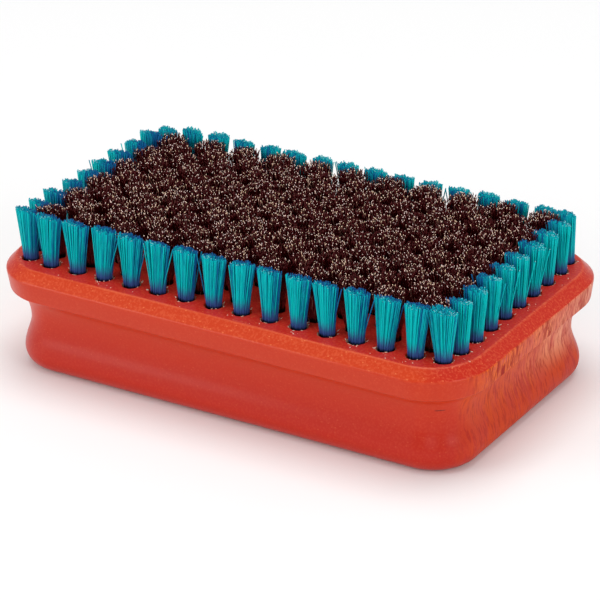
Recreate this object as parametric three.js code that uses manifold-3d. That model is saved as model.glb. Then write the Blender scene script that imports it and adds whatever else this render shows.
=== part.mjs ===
// Rectangular ski brush lying on its back: a lacquered wooden hand block with a finger groove,
// a border of nylon tufts and a staggered field of bronze wire tufts inside it.
// Millimetres, +Z up. The back of the block is on z = 0 and its middle is on the Z axis.
import * as THREE from 'three';
import { mergeVertices } from 'three/addons/utils/BufferGeometryUtils.js';
import Module from 'manifold-3d';

const wasm = await Module();
wasm.setup();
const { Manifold, Mesh: SolidMesh } = wasm;

// Driving dimensions of the block
const blockLength = 125;
const blockWidth = 73;
const blockHeight = 26.8;
const cornerRadius = 14.5;
const chamferWidth = 2.5;
const chamferHeight = 2.5;
const flangeHeight = 4.8;
const flangeDraft = 0.7;
const grooveDepth = 5.1;
const grooveDrop = 7.7;
const baseInset = 3.2;
const baseRound = 4.1;

// Driving dimensions of the tufts, roots and tips as diameters
const bristleHeight = 12.3;
const nylonRoot = 3.8;
const nylonTipLength = 5.7;
const nylonTipWidth = 2.6;
const bronzeRoot = 3.6;
const bronzeTip = 6.7;
const bronzeCrown = 0.7;
const strandGap = 0.3;
const strandSpread = 104;
const strandCore = 0.35;
const strandSetting = 1;

// Layout: counts of tufts, and the wood left between the roots
const borderAlong = 16;
const borderAcross = 10;
const cornerTuftInset = 1;
const fieldColumns = 11;
const fieldRows = 11;
const strandsPerTuft = 3;
const rimWidth = 1;
const rimWall = 2;
const fieldWallX = 2.1;
const fieldWallY = 1;

// Slices of backing that carry the strands, and the flat wire anchors under the border
const sliceThickness = 3;
const sliceCorner = 4;
const anchorBite = 0.4;
const anchorThickness = 0.5;
const anchorHeight = 1.8;
const anchorCut = 0.5;
const clearance = 0.3;

// Worked out from the dimensions above
const flangeTop = blockHeight - chamferHeight;
const flangeBottom = flangeTop - flangeHeight;
const grooveMiddle = flangeBottom - grooveDrop;
const sliceInset = chamferWidth + rimWidth;
const sliceBottom = blockHeight - sliceThickness;
const pocketFloor = sliceBottom - clearance;
const borderInset = sliceInset + rimWall + nylonRoot / 2;
const borderX = blockLength / 2 - borderInset;
const borderY = blockWidth / 2 - borderInset;
const borderPitchX = (2 * borderX) / (borderAlong - 1);
const borderPitchY = (2 * borderY) / (borderAcross - 1);
const fieldX = borderX - (nylonRoot + bronzeRoot) / 2 - fieldWallX;
const fieldY = borderY - (nylonRoot + bronzeRoot) / 2 - fieldWallY;
const fieldPitchX = (2 * fieldX) / (fieldColumns - 1);
const fieldPitchY = (2 * fieldY) / (fieldRows - 1);
const anchorLength = nylonRoot + 2 * anchorBite;

// Solids for boolean cuts and joins, from three.js geometry and back
function solid(geometry) {
  const bare = new THREE.BufferGeometry();
  bare.setAttribute('position', geometry.getAttribute('position'));
  bare.setIndex(geometry.getIndex());
  const merged = mergeVertices(bare, 1e-5);
  const mesh = new SolidMesh({
    numProp: 3,
    vertProperties: new Float32Array(merged.getAttribute('position').array),
    triVerts: new Uint32Array(merged.getIndex().array),
  });
  return new Manifold(mesh);
}

function geometryOf(manifold) {
  const mesh = manifold.getMesh();
  const geometry = new THREE.BufferGeometry();
  geometry.setAttribute('position', new THREE.BufferAttribute(mesh.vertProperties, 3));
  geometry.setIndex(new THREE.BufferAttribute(mesh.triVerts, 1));
  const faceted = geometry.toNonIndexed();
  faceted.computeVertexNormals();
  return faceted;
}

// A closed body through rings of points: equal counts, convex, turning left seen from above
function loft(rings) {
  const count = rings[0].length;
  const positions = rings.flat().flatMap((point) => point.toArray());
  const triangles = [];
  for (let ring = 0; ring + 1 < rings.length; ring += 1) {
    for (let i = 0; i < count; i += 1) {
      const next = (i + 1) % count;
      const low = ring * count;
      const high = low + count;
      triangles.push(low + i, low + next, high + next);
      triangles.push(low + i, high + next, high + i);
    }
  }
  const top = (rings.length - 1) * count;
  for (let i = 1; i + 1 < count; i += 1) {
    triangles.push(0, i + 1, i);
    triangles.push(top, top + i, top + i + 1);
  }
  const geometry = new THREE.BufferGeometry();
  geometry.setAttribute('position', new THREE.Float32BufferAttribute(positions, 3));
  geometry.setIndex(triangles);
  return geometry;
}

// Outline of a rectangle with round corners, as points turning left
function roundedRectangle(halfX, halfY, radius, steps) {
  const round = Math.max(0.05, Math.min(radius, halfX, halfY));
  const corners = [[1, 1], [-1, 1], [-1, -1], [1, -1]];
  return corners.flatMap(([signX, signY], quarter) => {
    const points = [];
    for (let step = 0; step <= steps; step += 1) {
      const angle = (quarter + step / steps) * (Math.PI / 2);
      points.push(new THREE.Vector2(
        signX * (halfX - round) + round * Math.cos(angle),
        signY * (halfY - round) + round * Math.sin(angle),
      ));
    }
    return points;
  });
}

function slab(outline, bottom, top, opening) {
  const shape = new THREE.Shape(outline);
  if (opening) {
    shape.holes.push(new THREE.Path(opening));
  }
  const geometry = new THREE.ExtrudeGeometry(shape, { depth: top - bottom, bevelEnabled: false });
  geometry.translate(0, 0, bottom);
  return geometry;
}

// Side of the block from back to face: x is the offset from the flange, y the height
function sideProfile() {
  const middle = (baseRound + grooveMiddle) / 2;
  const profile = new THREE.Path();
  profile.moveTo(-baseInset - baseRound, 0);
  profile.absarc(-baseInset - baseRound, baseRound, baseRound, -Math.PI / 2, 0, false);
  profile.bezierCurveTo(-baseInset, middle, -grooveDepth, middle, -grooveDepth, grooveMiddle);
  profile.absellipse(
    -flangeDraft, grooveMiddle, grooveDepth - flangeDraft, grooveDrop, Math.PI, Math.PI / 2, true, 0,
  );
  profile.lineTo(0, flangeTop);
  profile.lineTo(-chamferWidth, blockHeight);
  const points = profile.getPoints(5);
  return points.filter((point, i) => i === 0 || point.distanceTo(points[i - 1]) > 1e-4);
}

// Tufts of the border, in order round the block. All are set the same way by the same machine,
// so every tuft fans out along the block and stays thin across it
function borderTufts() {
  const tufts = [];
  const lastX = borderAlong - 1;
  const lastY = borderAcross - 1;
  const spot = (column, row) => {
    const inLongRow = row % lastY === 0;
    const inset = inLongRow && column % lastX === 0 ? cornerTuftInset : 0;
    const x = column * borderPitchX - borderX;
    const y = row * borderPitchY - borderY;
    tufts.push({
      x: x - Math.sign(x) * inset,
      y: y - Math.sign(y) * inset,
      root: nylonRoot / 2,
      along: nylonTipLength / 2,
      across: nylonTipWidth / 2,
      crown: 0,
      freeAlong: inLongRow ? (borderPitchX - cornerTuftInset - strandGap) / 2 : 0,
    });
  };
  for (let column = 0; column < lastX; column += 1) {
    spot(column, 0);
  }
  for (let row = 0; row < lastY; row += 1) {
    spot(lastX, row);
  }
  for (let column = lastX; column > 0; column -= 1) {
    spot(column, lastY);
  }
  for (let row = lastY; row > 0; row -= 1) {
    spot(0, row);
  }
  return tufts;
}

// Tufts of the field: every other row has one tuft less and stands half a pitch over
function fieldTufts() {
  const tufts = [];
  for (let row = 0; row < fieldRows; row += 1) {
    const odd = row % 2;
    for (let column = 0; column < fieldColumns - odd; column += 1) {
      tufts.push({
        x: (column + odd / 2) * fieldPitchX - fieldX,
        y: row * fieldPitchY - fieldY,
        root: bronzeRoot / 2,
        along: bronzeTip / 2,
        across: bronzeTip / 2,
        crown: bronzeCrown,
        freeAlong: 0,
      });
    }
  }
  return tufts;
}

// No tip reaches past half the way to the nearest other tuft, or in a long row to the next in it
function keepTipsApart(tufts) {
  for (const tuft of tufts) {
    const others = tufts.filter((other) => other !== tuft);
    const nearest = Math.min(...others.map((other) => Math.hypot(other.x - tuft.x, other.y - tuft.y)));
    tuft.reach = (nearest - strandGap) / 2;
  }
  for (const tuft of tufts) {
    tuft.across = Math.min(tuft.across, tuft.reach);
    tuft.along = Math.min(tuft.along, tuft.freeAlong || tuft.reach);
  }
}

// Strands of one tuft: wedges of its round root that fan out to the trimmed tip. A tip with a crown
// is highest at the middle of the tuft and falls to its rim, where the wires lean out most
function strands(tuft, index) {
  const half = THREE.MathUtils.degToRad(strandSpread / 2);
  const twist = index * Math.PI * (3 - Math.sqrt(5));
  const ring = (points, scaleU, scaleV, middleZ, rimZ) => points.map(([u, v], corner) => new THREE.Vector3(
    tuft.x + u * scaleU, tuft.y + v * scaleV, corner === 0 ? middleZ : rimZ,
  ));
  const tip = blockHeight + bristleHeight;
  const setting = blockHeight - strandSetting;
  const bodies = [];
  for (let strand = 0; strand < strandsPerTuft; strand += 1) {
    const middle = twist + (strand * 2 * Math.PI) / strandsPerTuft;
    const wedge = [
      [strandCore * Math.cos(middle), strandCore * Math.sin(middle)],
      [tuft.root * Math.cos(middle - half), tuft.root * Math.sin(middle - half)],
      [tuft.root * Math.cos(middle), tuft.root * Math.sin(middle)],
      [tuft.root * Math.cos(middle + half), tuft.root * Math.sin(middle + half)],
    ];
    bodies.push(solid(loft([
      ring(wedge, 1, 1, setting, setting),
      ring(wedge, 1, 1, blockHeight, blockHeight),
      ring(wedge, tuft.along / tuft.root, tuft.across / tuft.root, tip, tip - tuft.crown),
    ])));
  }
  return bodies;
}

// Outlines of the two slices, which part in the wall between border and field
const splitX = borderX - nylonRoot / 2 - fieldWallX / 2;
const splitY = borderY - nylonRoot / 2 - fieldWallY / 2;
const sliceOutline = (grow) => roundedRectangle(
  blockLength / 2 - sliceInset + grow,
  blockWidth / 2 - sliceInset + grow,
  cornerRadius - sliceInset + grow,
  6,
);
const splitOutline = (grow) => roundedRectangle(splitX + grow, splitY + grow, sliceCorner + grow, 3);

// The wooden block: its pocket takes the slices, and a slot in its floor each anchor
function brushBlock(border) {
  const rings = sideProfile().map(({ x: offset, y: height }) => roundedRectangle(
    blockLength / 2 + offset, blockWidth / 2 + offset, cornerRadius + offset, 8,
  ).map((point) => new THREE.Vector3(point.x, point.y, height)));
  const pocket = solid(slab(sliceOutline(clearance), pocketFloor, blockHeight + 1));
  const slots = border.map((tuft) => {
    const depth = anchorHeight + clearance;
    const slot = new THREE.BoxGeometry(
      anchorThickness + 2 * clearance, anchorLength + 2 * clearance, depth + clearance,
    );
    slot.translate(tuft.x, tuft.y, pocketFloor - (depth - clearance) / 2);
    return solid(slot);
  });
  return geometryOf(solid(loft(rings)).subtract(Manifold.union([pocket, ...slots])));
}

function borderBristles(border) {
  const slice = solid(slab(sliceOutline(0), sliceBottom, blockHeight, splitOutline(clearance / 2)));
  return geometryOf(Manifold.union([slice, ...border.flatMap(strands)]));
}

function fieldBristles(field) {
  const slice = solid(slab(splitOutline(-clearance / 2), sliceBottom, blockHeight));
  return geometryOf(Manifold.union([slice, ...field.flatMap(strands)]));
}

// A flat piece of wire on edge across the root of a tuft, its lower corners cut to drive in
function anchorPlate() {
  const half = anchorLength / 2;
  const outline = new THREE.Shape([
    new THREE.Vector2(half - anchorCut, -anchorHeight),
    new THREE.Vector2(half, anchorCut - anchorHeight),
    new THREE.Vector2(half, 0),
    new THREE.Vector2(-half, 0),
    new THREE.Vector2(-half, anchorCut - anchorHeight),
    new THREE.Vector2(anchorCut - half, -anchorHeight),
  ]);
  const plate = new THREE.ExtrudeGeometry(outline, { depth: anchorThickness, bevelEnabled: false });
  plate.translate(0, 0, -anchorThickness / 2);
  plate.rotateX(Math.PI / 2);
  plate.rotateZ(Math.PI / 2);
  return plate;
}

const materials = {
  lacquer: () => new THREE.MeshStandardMaterial({ color: 0xbc3a2b, roughness: 0.28, metalness: 0 }),
  nylon: () => new THREE.MeshStandardMaterial({ color: 0x05a3a8, roughness: 0.4, metalness: 0 }),
  bronze: () => new THREE.MeshStandardMaterial({ color: 0x6b4030, roughness: 0.35, metalness: 1 }),
  steel: () => new THREE.MeshStandardMaterial({ color: 0x9a9c9e, roughness: 0.4, metalness: 1 }),
};

const brush = new THREE.Group();

function addPiece(name, geometry, material) {
  const piece = new THREE.Mesh(geometry, material);
  piece.name = name;
  brush.add(piece);
  return piece;
}

const border = borderTufts();
const field = fieldTufts();
keepTipsApart([...border, ...field]);

addPiece('brush_block', brushBlock(border), materials.lacquer());
addPiece('nylon_border_bristles', borderBristles(border), materials.nylon());
addPiece('bronze_field_bristles', fieldBristles(field), materials.bronze());
border.forEach((tuft, index) => {
  const number = String(index + 1).padStart(2, '0');
  const anchor = addPiece(`nylon_anchor_${number}`, anchorPlate(), materials.steel());
  anchor.position.set(tuft.x, tuft.y, pocketFloor);
});

console.log(`strands: ${(border.length + field.length) * strandsPerTuft}`);

export default brush;
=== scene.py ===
# %% [markdown]
# # A ski brush in Blender
# The brush is a hand-sized wooden block in glossy red lacquer. One row of turquoise nylon tufts
# stands round its top face, and inside that row is a dense field of crimped bronze wire.
# The CAD model gives every size and place. This lesson keeps that frame fixed and makes
# the surfaces that a camera would see: the turned-over edges, the drilled holes, each filament.

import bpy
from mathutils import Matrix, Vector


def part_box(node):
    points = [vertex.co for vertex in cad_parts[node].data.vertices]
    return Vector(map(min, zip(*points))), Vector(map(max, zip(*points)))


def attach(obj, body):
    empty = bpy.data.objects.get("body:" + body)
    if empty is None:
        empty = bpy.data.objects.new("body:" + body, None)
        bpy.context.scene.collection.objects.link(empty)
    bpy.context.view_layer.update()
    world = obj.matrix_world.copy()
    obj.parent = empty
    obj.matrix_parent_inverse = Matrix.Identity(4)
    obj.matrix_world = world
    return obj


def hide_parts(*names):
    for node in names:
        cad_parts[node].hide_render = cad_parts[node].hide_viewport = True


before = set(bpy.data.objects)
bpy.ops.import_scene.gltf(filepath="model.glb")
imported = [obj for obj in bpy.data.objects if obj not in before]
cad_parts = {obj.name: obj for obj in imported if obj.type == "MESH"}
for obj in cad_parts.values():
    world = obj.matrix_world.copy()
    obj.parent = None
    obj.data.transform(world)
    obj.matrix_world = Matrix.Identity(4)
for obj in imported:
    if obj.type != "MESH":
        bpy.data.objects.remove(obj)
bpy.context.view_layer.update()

# %% [markdown]
# ## Camera
# The photograph was taken from a long way off with a long lens, so the sides of the block stay
# almost parallel. A camera can be placed by hand, but here its angles, distance and focal
# length were worked out from the block's edges and the tuft roots in the photograph. The camera
# is also rolled by under two degrees, as a hand-held one is.

# %% Place the camera
import math
import bpy
from mathutils import Color, Matrix, Vector

MM = 0.001
PHOTO_PIXELS = 600
FOCAL_PIXELS = 3352.0
SENSOR_WIDTH = 36.0
VIEW_AZIMUTH = math.radians(32.52)
VIEW_ELEVATION = math.radians(25.88)
VIEW_ROLL = math.radians(-1.735)
VIEW_DISTANCE = 742.0 * MM
CLIP_END = 20.0

block_high = Vector(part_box("brush_block")[1])
TOP = block_high.z
VIEW_TARGET = Vector((11.81 * MM, -17.91 * MM, TOP))

away = Vector((
    math.sin(VIEW_AZIMUTH) * math.cos(VIEW_ELEVATION),
    -math.cos(VIEW_AZIMUTH) * math.cos(VIEW_ELEVATION),
    math.sin(VIEW_ELEVATION),
))
level = Vector((math.cos(VIEW_AZIMUTH), math.sin(VIEW_AZIMUTH), 0.0))
upright = away.cross(level)
view_right = level * math.cos(VIEW_ROLL) + upright * math.sin(VIEW_ROLL)
view_up = upright * math.cos(VIEW_ROLL) - level * math.sin(VIEW_ROLL)
view_place = VIEW_TARGET + away * VIEW_DISTANCE


def put_in_scene(name, data):
    """Makes an object from a camera, a light or a mesh, and puts it in the scene."""
    made = bpy.data.objects.new(name, data)
    bpy.context.scene.collection.objects.link(made)
    return made


camera = put_in_scene("photo_camera", bpy.data.cameras.new("photo_camera"))
camera.data.sensor_width = SENSOR_WIDTH
camera.data.lens = FOCAL_PIXELS * SENSOR_WIDTH / PHOTO_PIXELS
camera.data.clip_end = CLIP_END
turn = Matrix((view_right, view_up, away)).transposed()
camera.matrix_world = Matrix.Translation(view_place) @ turn.to_4x4()
bpy.context.scene.camera = camera
print(f"camera {view_place.length / MM:.0f} mm from the origin, lens {camera.data.lens:.0f} mm")

# %% [markdown]
# ## Floor and light
# A product photograph on white is lit by a big soft tent. An all-white world could do it alone,
# but the tufts would look flat. So the world does about half of the work, and four soft panels,
# on the left, on the right, in front and overhead, give each tuft a bright and a shaded side. A
# wide pale floor catches the soft shadow. The plain view transform keeps the picked colours.

# %% Lay the floor and hang the lights
FLOOR_HALF = 6.0
FLOOR_GREY = (0.92, 0.92, 0.92, 1.0)
FLOOR_ROUGHNESS = 0.9
TENT_WHITE = (1.0, 1.0, 1.0, 1.0)
WORLD_STRENGTH = 0.53
# Where each panel hangs and how wide it is, both in metres, and its power in watts
LIGHTS = {
    "left_panel": ((-0.80, -0.85, 0.45), 0.70, 4.6),
    "right_panel": ((1.00, -0.25, 0.45), 0.60, 3.1),
    "front_panel": ((0.45, -1.00, 0.40), 0.50, 1.0),
    "overhead_panel": ((0.00, 0.10, 1.10), 0.80, 5.8),
}


def new_finish(name, **fixed):
    """A material with one shader, and the values that are the same all over it."""
    material = bpy.data.materials.new(name)
    material.use_nodes = True
    shader = material.node_tree.nodes["Principled BSDF"]
    for label, value in fixed.items():
        shader.inputs[label.replace("_", " ")].default_value = value
    return material, material.node_tree, shader


floor_mesh = bpy.data.meshes.new("floor")
floor_corners = [(-FLOOR_HALF, -FLOOR_HALF, 0), (FLOOR_HALF, -FLOOR_HALF, 0),
                 (FLOOR_HALF, FLOOR_HALF, 0), (-FLOOR_HALF, FLOOR_HALF, 0)]
pale_floor = new_finish("pale_floor", Base_Color=FLOOR_GREY, Roughness=FLOOR_ROUGHNESS)[0]
floor_mesh.from_pydata(floor_corners, [], [(0, 1, 2, 3)])
floor_mesh.materials.append(pale_floor)
floor = put_in_scene("floor", floor_mesh)

world = bpy.data.worlds.new("white_tent")
world.use_nodes = True
glow = world.node_tree.nodes["Background"]
glow.inputs["Color"].default_value = TENT_WHITE
glow.inputs["Strength"].default_value = WORLD_STRENGTH
bpy.context.scene.world = world
bpy.context.scene.view_settings.view_transform = "Standard"

for light_name, (place, size, energy) in LIGHTS.items():
    panel = bpy.data.lights.new(light_name, "AREA")
    panel.size = size
    panel.energy = energy
    lamp = put_in_scene(light_name, panel)
    lamp.location = place
    lamp.rotation_euler = (VIEW_TARGET - lamp.location).to_track_quat("-Z", "Y").to_euler()
print("lights:", ", ".join(LIGHTS))

# %% [markdown]
# ## Where the tufts stand
# A drilling machine sets the holes out in a fixed pattern. The nylon border has 16 tufts along
# and 10 across, with the corner tufts drawn in a little. The bronze field is a staggered grid of
# 11 rows of 11 and 10. The places follow from the block's size, so they come before anything
# that needs them: the holes in the block and the tufts themselves. Each border tuft also keeps
# the way that leads off the brush, which at a corner is the diagonal.

# %% Set out the tufts
from collections import namedtuple

Tuft = namedtuple("Tuft", "x y side outward")

BORDER_ALONG, BORDER_ACROSS = 16, 10
BORDER_INSET = 7.4 * MM
CORNER_INSET = 1.0 * MM
DIAGONAL = math.sqrt(0.5)
FIELD_COLUMNS, FIELD_ROWS = 11, 11
FIELD_INSET_X, FIELD_INSET_Y = 5.8 * MM, 4.7 * MM

border_x = block_high.x - BORDER_INSET
border_y = block_high.y - BORDER_INSET
field_x = border_x - FIELD_INSET_X
field_y = border_y - FIELD_INSET_Y


def border_tuft(column, row, side, outward):
    """One tuft of the border, with the way that leads off the brush; corner tufts are drawn in."""
    x = (2 * column / (BORDER_ALONG - 1) - 1) * border_x
    y = (2 * row / (BORDER_ACROSS - 1) - 1) * border_y
    if column in (0, BORDER_ALONG - 1) and row in (0, BORDER_ACROSS - 1):
        outward = math.copysign(DIAGONAL, x), math.copysign(DIAGONAL, y)
        x -= math.copysign(CORNER_INSET, x)
        y -= math.copysign(CORNER_INSET, y)
    return Tuft(x, y, side, outward)


last_column, last_row = BORDER_ALONG - 1, BORDER_ACROSS - 1
border_tufts = [border_tuft(i, 0, "front", (0, -1)) for i in range(last_column)]
border_tufts += [border_tuft(last_column, j, "right", (1, 0)) for j in range(last_row)]
border_tufts += [border_tuft(i, last_row, "back", (0, 1)) for i in range(last_column, 0, -1)]
border_tufts += [border_tuft(0, j, "left", (-1, 0)) for j in range(last_row, 0, -1)]

field_tufts = []
for row in range(FIELD_ROWS):
    odd = row % 2
    y = (2 * row / (FIELD_ROWS - 1) - 1) * field_y
    for column in range(FIELD_COLUMNS - odd):
        x = (2 * (column + odd / 2) / (FIELD_COLUMNS - 1) - 1) * field_x
        field_tufts.append(Tuft(x, y, row, (0, 0)))
print(len(border_tufts), "nylon tufts and", len(field_tufts), "bronze tufts")

# %% [markdown]
# ## Shaping the block
# The block is routed from one piece of wood: a flange round the top with a chamfer, a finger
# groove under it, and a base that swells out again. A lathe-like sweep of one side profile round a
# rounded rectangle makes that, and it could be a curve with a bevel object. Rings of points
# are used here because the top ring can then be joined to the drilled holes. Sandpaper takes
# every sharp edge off, so each corner of the profile becomes a small curve, and the points on
# it remember that the lacquer is thin there and that a painted highlight runs along the edge.

# %% Draw the side profile
# All lengths here are in millimetres, and those across count from the block's side
CORNER_RADIUS = 14.5
CHAMFER_WIDTH, CHAMFER_HEIGHT = 2.5, 2.5
FLANGE_HEIGHT, FLANGE_DRAFT = 4.8, 0.7
GROOVE_DEPTH, GROOVE_DROP = 5.1, 7.7
BASE_INSET, BASE_ROUND = 3.2, 4.1
SANDED = 0.42
# How thin the lacquer is at each sanded corner, which also paints a highlight along the edge
FOOT_WEAR_AND_HIGHLIGHT, BROW_WEAR_AND_HIGHLIGHT, TOP_WEAR_AND_HIGHLIGHT = 0.3, 0.2, 1.0
ARC_STEPS = 10
EDGE_STEPS = 5

height = TOP / MM
flange_top = height - CHAMFER_HEIGHT
flange_bottom = flange_top - FLANGE_HEIGHT
groove_middle = flange_bottom - GROOVE_DROP


def quarter(centre, across, up, start, end):
    """Points of a quarter of an ellipse, between two angles in degrees."""
    for step in range(ARC_STEPS + 1):
        angle = math.radians(start + (end - start) * step / ARC_STEPS)
        yield centre[0] + across * math.cos(angle), centre[1] + up * math.sin(angle), 0.0


def s_curve(low, high):
    """Points of a smooth swelling between two heights, upright at both ends."""
    for step in range(1, ARC_STEPS):
        t = step / ARC_STEPS
        ease = t * t * (3 - 2 * t)
        yield low[0] + (high[0] - low[0]) * ease, low[1] + (high[1] - low[1]) * t, 0.0


def sanded_corner(before, corner, after, wear_and_highlight):
    """A corner of the profile with its sharpness taken off, and how far its lacquer is worn, which
    also paints a highlight along the edge.
    """
    first = corner + (before - corner).normalized() * SANDED
    last = corner + (after - corner).normalized() * SANDED
    for step in range(EDGE_STEPS + 1):
        t = step / EDGE_STEPS
        point = first * (1 - t) ** 2 + corner * 2 * t * (1 - t) + last * t * t
        yield point.x, point.y, wear_and_highlight * math.sin(math.pi * t)


inwards = Vector((-1.0, 0.0))
base_centre = -BASE_INSET - BASE_ROUND, BASE_ROUND
cove_centre = -FLANGE_DRAFT, groove_middle
flange_foot = Vector((-FLANGE_DRAFT, flange_bottom))
flange_brow = Vector((0.0, flange_top))
top_edge = Vector((-CHAMFER_WIDTH, height))
cove = list(quarter(cove_centre, GROOVE_DEPTH - FLANGE_DRAFT, GROOVE_DROP, 180, 90))

profile = list(quarter(base_centre, BASE_ROUND, BASE_ROUND, -90, 0))
profile += s_curve((-BASE_INSET, BASE_ROUND), (-GROOVE_DEPTH, groove_middle))
profile += cove[:-1]
profile += sanded_corner(flange_foot + inwards, flange_foot, flange_brow, FOOT_WEAR_AND_HIGHLIGHT)
profile += sanded_corner(flange_foot, flange_brow, top_edge, BROW_WEAR_AND_HIGHLIGHT)
profile += sanded_corner(flange_brow, top_edge, top_edge + inwards, TOP_WEAR_AND_HIGHLIGHT)
print(len(profile), "points in the side profile")

# %% [markdown]
# ## Cutting the holes
# Each tuft sits in a drilled hole. Cutting 164 cylinders out with a Boolean would work, but
# it leaves long thin faces. Filling the flat top between its outer ring and all the hole rims
# in one go gives a clean sheet, and every rim then gets a small countersink, a wall
# and a floor. A drill tears the wood a little, so no rim is a perfect circle.

# %% Drill the holes
import random
import bmesh

HOLE_STEPS = 24
NYLON_HOLE = 2.12 * MM
BRONZE_HOLE = 1.90 * MM
HOLE_DEPTH = 5.0 * MM
RIM_CUT = 0.20 * MM
RIM_RAGGED = (0.4, 1.6)
TORN_SHARE = 0.45
BLOCK_SEED = 11

dice = random.Random(BLOCK_SEED)
holes = [(tuft, NYLON_HOLE) for tuft in border_tufts]
holes += [(tuft, BRONZE_HOLE) for tuft in field_tufts]


def join_rings(shape, lower, upper):
    """A band of four-sided faces between two rings of the same count."""
    count = len(lower)
    for i in range(count):
        j = (i + 1) % count
        shape.faces.new((lower[i], lower[j], upper[j], upper[i])).smooth = True


def hole_ring(shape, tuft, reaches, depth):
    """One ring of points round a drilled hole, at its own distance in each direction."""
    ring = []
    for step, reach in enumerate(reaches):
        angle = 2 * math.pi * step / len(reaches)
        ring.append(shape.verts.new((tuft.x + reach * math.cos(angle),
                                     tuft.y + reach * math.sin(angle), TOP - depth)))
    return ring


def hole_rim(shape, tuft, radius):
    """The ragged mouth of a drilled hole, in the plane of the top face."""
    reaches = [radius + RIM_CUT * dice.uniform(*RIM_RAGGED) for step in range(HOLE_STEPS)]
    return hole_ring(shape, tuft, reaches, 0.0)


def sink_hole(shape, tuft, radius, rim, bare):
    """The countersink, wall and floor under a rim. Torn stretches of the countersink are bare."""
    cut = hole_ring(shape, tuft, [radius] * HOLE_STEPS, RIM_CUT)
    join_rings(shape, cut, rim)
    for point in cut:
        point[bare] = float(dice.random() < TORN_SHARE)
    floor_ring = hole_ring(shape, tuft, [radius] * HOLE_STEPS, HOLE_DEPTH)
    join_rings(shape, floor_ring, cut)
    shape.faces.new(floor_ring)


print(len(holes), "holes,", round(HOLE_DEPTH / MM, 1), "mm deep")

# %% [markdown]
# ## The block as one mesh
# The profile runs round a rounded rectangle, ring above ring, and bands of faces join the rings.
# A bevelled curve would give the same sides, but no top sheet with holes in it. Every point also
# carries two numbers for the finish: how thin the lacquer is on it, which also paints a highlight
# along the sanded edges, and whether the drill tore the wood bare there.

# %% Build the block
CORNER_STEPS = 20


def rounded_rectangle(half_length, half_width, radius):
    """Points round a rectangle with rounded corners, against the clock from the right end."""
    for quarter_turn in range(4):
        side_x = 1 if quarter_turn in (0, 3) else -1
        side_y = 1 if quarter_turn in (0, 1) else -1
        for step in range(CORNER_STEPS + 1):
            angle = math.pi / 2 * (quarter_turn + step / CORNER_STEPS)
            yield (side_x * (half_length - radius) + radius * math.cos(angle),
                   side_y * (half_width - radius) + radius * math.sin(angle))


def loop_edges(shape, ring):
    """The edges that close a ring of points."""
    edges = []
    for first, second in zip(ring, ring[1:] + ring[:1]):
        edges.append(shape.edges.get((first, second)) or shape.edges.new((first, second)))
    return edges


def shape_block():
    """The whole block as one closed mesh, with thin lacquer and its painted edge highlight, and
    bare wood, marked on its points.
    """
    shape = bmesh.new()
    thin_lacquer_and_highlight = shape.verts.layers.float.new("thin_lacquer_and_highlight")
    bare = shape.verts.layers.float.new("bare_rim")
    rings = []
    for offset, z, wear_and_highlight in profile:
        outline = rounded_rectangle(block_high.x + offset * MM, block_high.y + offset * MM,
                                    (CORNER_RADIUS + offset) * MM)
        ring = [shape.verts.new((x, y, z * MM)) for x, y in outline]
        for point in ring:
            point[thin_lacquer_and_highlight] = wear_and_highlight
        rings.append(ring)
    for lower, upper in zip(rings, rings[1:]):
        join_rings(shape, lower, upper)
    shape.faces.new(rings[0][::-1])
    rims = [hole_rim(shape, tuft, radius) for tuft, radius in holes]
    open_edges = loop_edges(shape, rings[-1])
    for rim in rims:
        open_edges += loop_edges(shape, rim)
    bmesh.ops.triangle_fill(shape, edges=open_edges, normal=(0, 0, 1), use_beauty=True)
    for (tuft, radius), rim in zip(holes, rims):
        sink_hole(shape, tuft, radius, rim, bare)
    return shape


def mesh_from(shape, name):
    """Turns the faces of a shape outwards and makes a mesh of it."""
    bmesh.ops.recalc_face_normals(shape, faces=shape.faces)
    open_count = sum(not edge.is_manifold for edge in shape.edges)
    mesh = bpy.data.meshes.new(name)
    shape.to_mesh(mesh)
    shape.free()
    print(name, "has", len(mesh.polygons), "faces and", open_count, "open edges")
    return mesh


def add_piece(name, mesh, material_slot, *stands_for):
    """Puts a mesh in the scene as a piece of the brush, in place of its CAD solids."""
    piece = put_in_scene(name, mesh)
    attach(piece, "root")
    if stands_for:
        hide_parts(*stands_for)
    return piece


block_mesh = mesh_from(shape_block(), "lacquered_block")
add_piece("lacquered_block", block_mesh, "lacquered_wood", "brush_block")

# %% [markdown]
# ## Splinters and crumbs
# Where the drill came through the lacquer, small flakes of bare wood stand up at the rims of
# the nylon holes, and crumbs of wood lie on the strip beside the straight rows. They are tiny,
# but their pale colour is the first thing the eye finds at the foot of a tuft. Each flake is a
# bent strip with a real thickness, and each crumb a lopsided chip, so all are closed shapes.

# %% Raise the splinters
FLAKES_A_HOLE = 7
FLAKE_THICKNESS = 0.07 * MM
FLAKE_SUNK = 0.02 * MM
FLAKE_TAPER = 0.55
CRUMBS = 90
CRUMB_CORNERS = ((1, 0, 0), (-1, 0, 0), (0, 1, 0), (0, -1, 0), (0, 0, 1), (0, 0, -0.3))
CRUMB_SIDES = ((0, 2), (2, 1), (1, 3), (3, 0))
CRUMB_PEAK, CRUMB_FOOT = 4, 5
CRUMB_JOLT = (-0.4, 0.4)
# The shortest and longest of each length, in millimetres
SPANS = {
    "flake gap": (0.0, 0.25), "flake width": (0.18, 0.52), "flake reach": (0.18, 0.55),
    "flake lift": (0.06, 0.40), "flake skew": (-0.3, 0.3),
    "crumb reach": (2.3, 4.4), "crumb slip": (-3.5, 3.5), "crumb size": (0.07, 0.17),
}


def chance(span):
    """A random length from the table of spans."""
    return dice.uniform(*SPANS[span]) * MM


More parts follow.
